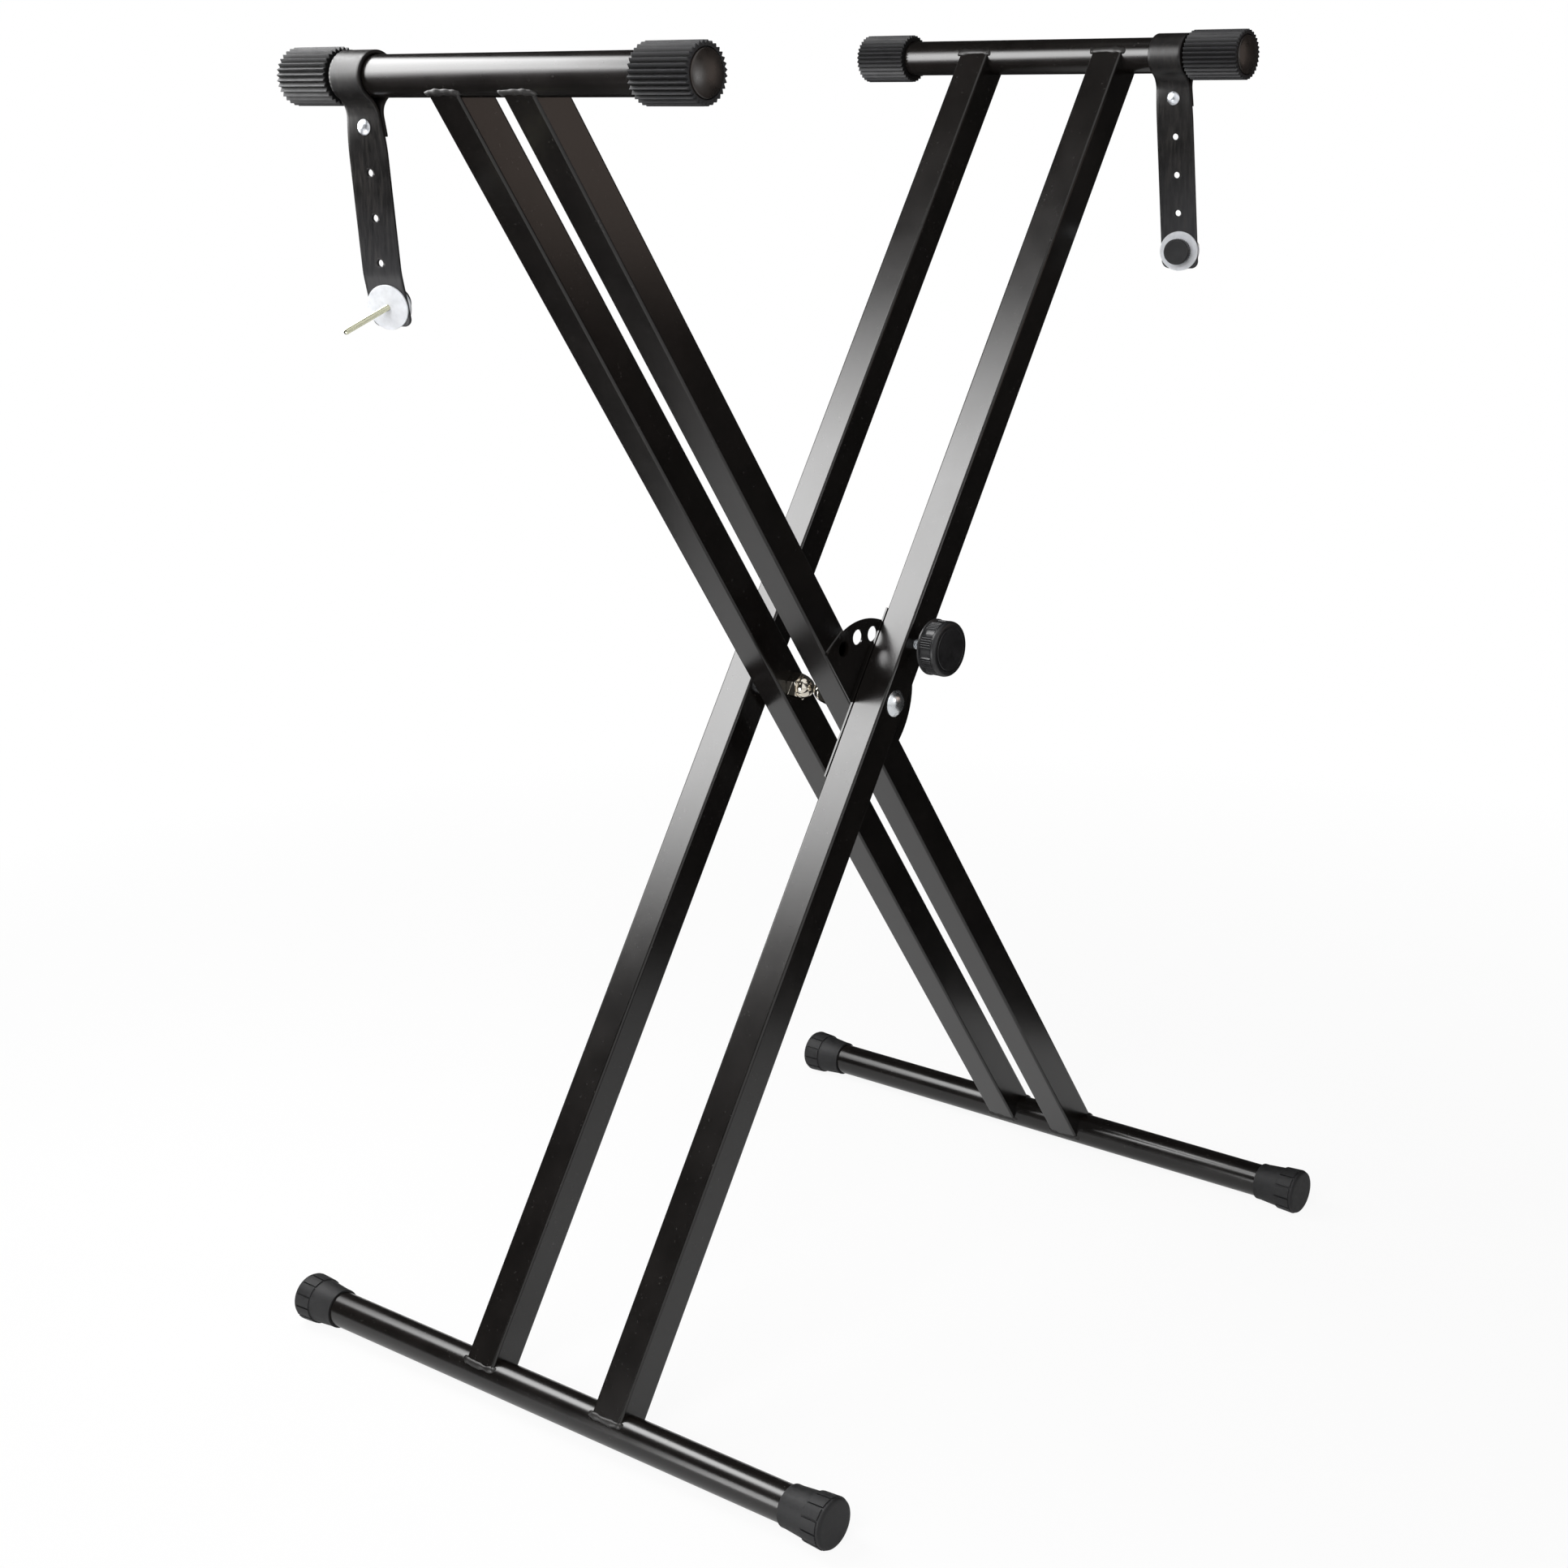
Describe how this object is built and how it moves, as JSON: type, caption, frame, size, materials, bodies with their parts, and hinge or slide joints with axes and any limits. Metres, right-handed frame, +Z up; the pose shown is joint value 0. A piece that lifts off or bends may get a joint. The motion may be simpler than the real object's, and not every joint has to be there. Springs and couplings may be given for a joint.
{
  "type": "keyboard stand",
  "caption": "Folding double-braced X stand for a keyboard, with a latch plate and locking knob at the pivot, ribbed rubber rests, rubber feet and holding straps.",
  "frame": {"origin": "on the floor under the middle of the stand; the pivot axis runs along Y straight above it", "axes": "+Z up; +X from the left top tube to the right one; +Y away from the side with the locking knob"},
  "size_m": [0.7505, 0.542, 0.9894],
  "materials": {
    "black_powder_coat": "semi-gloss black powder coat on steel tube",
    "ribbed_rubber": "satin black rubber with fine ribs",
    "plug_plastic": "satin black moulded plastic",
    "foot_rubber": "matt black rubber, slightly mottled",
    "strap_rubber": "smooth black rubber strap with a faint grain",
    "chrome": "bright nickel plate, slightly warm",
    "zinc_plate": "bright zinc plate on steel",
    "rivet_steel": "bright tinned steel rivet",
    "nylon": "milky translucent nylon",
    "knob_plastic": "satin black moulded plastic"
  },
  "bodies": {
    "outer_frame": {"top_tube_right": "black_powder_coat", "base_tube_left": "black_powder_coat", "outer_arm_near": "black_powder_coat", "outer_arm_far": "black_powder_coat", "top_cap_right_near": "ribbed_rubber", "top_cap_right_far": "ribbed_rubber", "end_plug_right_near": "plug_plastic", "end_plug_right_far": "plug_plastic", "foot_cap_left_near": "foot_rubber", "foot_cap_left_far": "foot_rubber", "latch_backing_plate": "black_powder_coat", "pivot_bolt_near": "zinc_plate", "pivot_bolt_far": "zinc_plate", "pivot_nut_near": "chrome", "pivot_nut_far": "chrome", "pivot_washers_far": "zinc_plate", "locking_nut": "zinc_plate"},
    "inner_frame": {"top_tube_left": "black_powder_coat", "base_tube_right": "black_powder_coat", "inner_arm_near": "black_powder_coat", "inner_arm_far": "black_powder_coat", "top_cap_left_near": "ribbed_rubber", "top_cap_left_far": "ribbed_rubber", "end_plug_left_near": "plug_plastic", "end_plug_left_far": "plug_plastic", "foot_cap_right_near": "foot_rubber", "foot_cap_right_far": "foot_rubber", "latch_plate": "black_powder_coat"},
    "locking_bolt": {"locking_bolt": "zinc_plate"},
    "locking_knob": {"locking_knob": "knob_plastic"},
    "left_strap": {"strap_left": "strap_rubber", "strap_rivet_left": "rivet_steel", "strap_washers_left": "nylon"},
    "left_strap_screw": {"strap_screw_left": "zinc_plate", "strap_knob_left": "knob_plastic"},
    "right_strap": {"strap_right": "strap_rubber", "strap_rivet_right": "rivet_steel", "strap_washers_right": "nylon"},
    "right_strap_screw": {"strap_screw_right": "zinc_plate", "strap_knob_right": "knob_plastic"}
  },
  "joints": [
    {"name": "fold", "type": "hinge", "parent": "outer_frame", "child": "inner_frame", "pos_m": [0, 0, 0.49768], "axis": [0, 1, 0], "range_deg": [-42.6, 63.9]},
    {"name": "locking_bolt_travel", "type": "slide", "parent": "outer_frame", "child": "locking_bolt", "axis": [0, -1, 0], "range_m": [0, 0.025]},
    {"name": "locking_knob_turn", "type": "hinge", "parent": "locking_bolt", "child": "locking_knob", "pos_m": [0.0281, -0.098, 0.53903], "axis": [0, -1, 0], "range_deg": [0, 7200]},
    {"name": "left_strap_swing", "type": "hinge", "parent": "inner_frame", "child": "left_strap", "pos_m": [-0.32095, 0.1205, 0.96994], "axis": [0, 1, 0], "range_deg": [-80, 80]},
    {"name": "left_strap_screw_turn", "type": "hinge", "parent": "left_strap", "child": "left_strap_screw", "pos_m": [-0.31572, 0.11362, 0.81735], "axis": [0.9387, 0.287, 0.1908], "continuous": true},
    {"name": "right_strap_swing", "type": "hinge", "parent": "outer_frame", "child": "right_strap", "pos_m": [0.32095, -0.1205, 0.96994], "axis": [0, 1, 0], "range_deg": [-80, 80]},
    {"name": "right_strap_screw_turn", "type": "hinge", "parent": "right_strap", "child": "right_strap_screw", "pos_m": [0.32189, -0.12872, 0.81694], "axis": [0.9563, 0.2924, 0], "continuous": true}
  ],
  "couplings": [
    {"joint": "locking_bolt_travel", "follows": "locking_knob_turn", "m_per_rad": 0.00019894}
  ]
}
